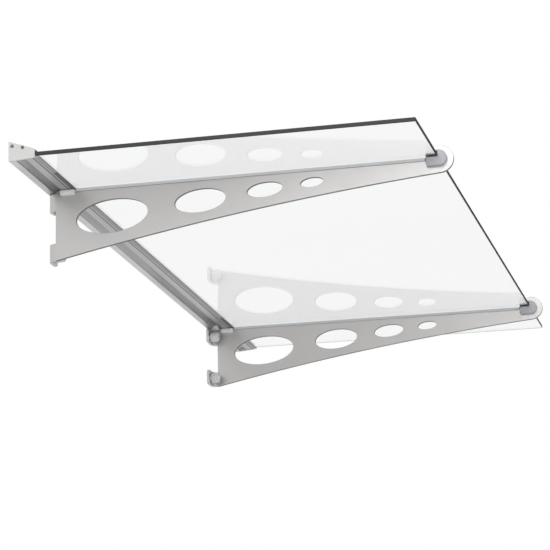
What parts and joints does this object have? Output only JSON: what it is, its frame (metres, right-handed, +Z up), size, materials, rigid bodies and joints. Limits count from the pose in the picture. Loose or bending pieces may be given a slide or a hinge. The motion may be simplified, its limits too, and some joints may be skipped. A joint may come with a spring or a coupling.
{
  "type": "door canopy",
  "caption": "Flat clear-glass canopy over a door, its rear edge in an aluminium wall rail, borne on tapering steel brackets with oval holes and clamped in front.",
  "frame": {"origin": "middle of the rail's back face, on the plane of the wall", "axes": "+Z up, -Y out from the wall, +X to the right along the wall for someone facing the wall"},
  "size_m": [1.5062, 0.7795, 0.171],
  "materials": {
    "clear_glass": "clear float glass, polished edges",
    "anodised_aluminium": "satin anodised",
    "grey_gasket": "matt",
    "brushed_stainless": "brushed along the length",
    "strip_plastic": "matt",
    "clamp_grey": "satin blue-grey",
    "cover_grey": "satin lilac-grey",
    "zinc_steel": "zinc plated",
    "cap_grey": "satin pale grey"
  },
  "bodies": {
    "root": {"glass_pane": "clear_glass", "wall_rail": "anodised_aluminium", "glass_gasket_lower": "grey_gasket", "glass_gasket_upper": "grey_gasket", "rail_end_cap_left": "cap_grey", "end_cap_screw_left_1": "zinc_steel", "end_cap_screw_left_2": "zinc_steel", "bracket_left": "brushed_stainless", "bearing_strip_left": "strip_plastic", "seat_block_left": "clamp_grey", "front_clamp_left_outer": "clamp_grey", "front_clamp_left_inner": "clamp_grey", "front_clamp_screw_left": "zinc_steel", "front_liner_left": "grey_gasket", "wall_washer_left_upper": "zinc_steel", "wall_bolt_left_upper": "zinc_steel", "wall_cover_left_upper": "cover_grey", "wall_washer_left_lower": "zinc_steel", "wall_bolt_left_lower": "zinc_steel", "wall_cover_left_lower": "cover_grey", "wall_washer_left_rail": "zinc_steel", "wall_bolt_left_rail": "zinc_steel", "wall_cover_left_rail": "cover_grey", "rail_end_cap_right": "cap_grey", "end_cap_screw_right_1": "zinc_steel", "end_cap_screw_right_2": "zinc_steel", "bracket_right": "brushed_stainless", "bearing_strip_right": "strip_plastic", "seat_block_right": "clamp_grey", "front_clamp_right_outer": "clamp_grey", "front_clamp_right_inner": "clamp_grey", "front_clamp_screw_right": "zinc_steel", "front_liner_right": "grey_gasket", "wall_washer_right_upper": "zinc_steel", "wall_bolt_right_upper": "zinc_steel", "wall_cover_right_upper": "cover_grey", "wall_washer_right_lower": "zinc_steel", "wall_bolt_right_lower": "zinc_steel", "wall_cover_right_lower": "cover_grey", "wall_washer_right_rail": "zinc_steel", "wall_bolt_right_rail": "zinc_steel", "wall_cover_right_rail": "cover_grey"}
  },
  "joints": []
}
